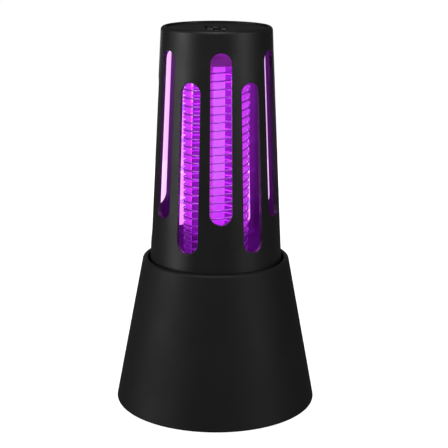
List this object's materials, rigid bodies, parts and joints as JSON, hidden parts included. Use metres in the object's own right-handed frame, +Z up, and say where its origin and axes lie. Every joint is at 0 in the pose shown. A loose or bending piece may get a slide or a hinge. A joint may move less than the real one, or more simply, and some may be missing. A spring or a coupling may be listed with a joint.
{
  "type": "electric bug zapper",
  "caption": "Cordless bug zapper: a slim slotted tower over a wire coil and a violet lamp, standing in a wide cone base with a fold-down hanging loop.",
  "frame": {"origin": "centre of the footprint, on the surface the feet stand on", "axes": "+Z up along the tower's axis, +Y to the back, where the button and the charging port are"},
  "size_m": [0.0996, 0.0996, 0.187],
  "materials": {
    "shell_plastic": "fine moulded black, semi-matt",
    "base_plastic": "fine moulded black, matt",
    "deck_plastic": "moulded black",
    "foot_rubber": "matt",
    "steel": "satin",
    "spring_steel": "satin",
    "dark_steel": "blackened",
    "loop_plastic": "smooth moulded",
    "button_plastic": "smooth moulded",
    "milky_plastic": "translucent white",
    "coil_wire": "drawn wire",
    "lamp_glass": "frosted, glowing violet",
    "board_white": "solder mask",
    "led_chip": "phosphor window",
    "clear_plastic": "clear moulded",
    "lead_blue": "soft insulation",
    "lead_red": "soft insulation",
    "lead_grey": "soft insulation",
    "cell_wrap": "shrink sleeve",
    "board_green": "solder mask",
    "ferrite": "sintered",
    "winding_tape": "film tape",
    "capacitor_resin": "dipped resin",
    "chip_resin": "moulded resin",
    "socket_plastic": "moulded",
    "port_metal": "plated"
  },
  "bodies": {
    "base": {"base_shell": "base_plastic", "base_plate": "base_plastic", "base_screws": "steel", "rubber_feet": "foot_rubber", "core_deck": "deck_plastic", "deck_screws": "steel", "tower_clips": "spring_steel", "clip_rivets": "steel", "coil_frame": "milky_plastic", "core_screws": "steel", "core_cap": "milky_plastic", "coil_wire_a": "coil_wire", "coil_wire_b": "coil_wire", "lamp_tube": "lamp_glass", "lamp_plug": "milky_plastic", "led_board": "board_white", "uv_leds": "led_chip", "lamp_leads": "lead_blue", "hv_leads": "lead_red", "battery_holder": "deck_plastic", "battery_cell": "cell_wrap", "battery_contacts": "steel", "battery_leads": "lead_red", "main_board": "board_green", "board_screws": "steel", "transformer_core": "ferrite", "transformer_winding": "winding_tape", "hv_capacitors": "capacitor_resin", "hv_diodes": "chip_resin", "drum_inductor": "ferrite", "board_chips": "chip_resin", "board_sockets": "socket_plastic", "switch_board": "board_green", "switch_leads": "lead_grey", "charging_port": "port_metal", "port_tongue": "chip_resin", "tact_switch": "chip_resin", "status_led": "led_chip", "light_pipe": "clear_plastic", "cover_pin": "steel"},
    "tower": {"tower_shell": "shell_plastic", "top_cap": "shell_plastic", "cap_screws": "steel", "loop_pin": "dark_steel"},
    "loop": {"hanging_loop": "loop_plastic"},
    "button": {"power_button": "button_plastic", "switch_plunger": "socket_plastic"},
    "cover": {"port_cover": "button_plastic"}
  },
  "joints": [
    {"name": "tower_lift", "type": "slide", "parent": "base", "child": "tower", "axis": [0, 0, 1], "range_m": [0, 0.12], "deforming": ["tower_clips"]},
    {"name": "loop_fold", "type": "hinge", "parent": "tower", "child": "loop", "pos_m": [0, 0, 0.1844], "axis": [1, 0, 0], "range_deg": [0, 90]},
    {"name": "button_press", "type": "slide", "parent": "base", "child": "button", "axis": [0, -1, 0], "range_m": [0, 0.0008], "stiffness_N_per_m": 800, "springref_m": -0.0004},
    {"name": "cover_open", "type": "hinge", "parent": "base", "child": "cover", "pos_m": [0, 0.04709, 0.00917], "axis": [-1, 0, 0], "range_deg": [0, 100]}
  ]
}
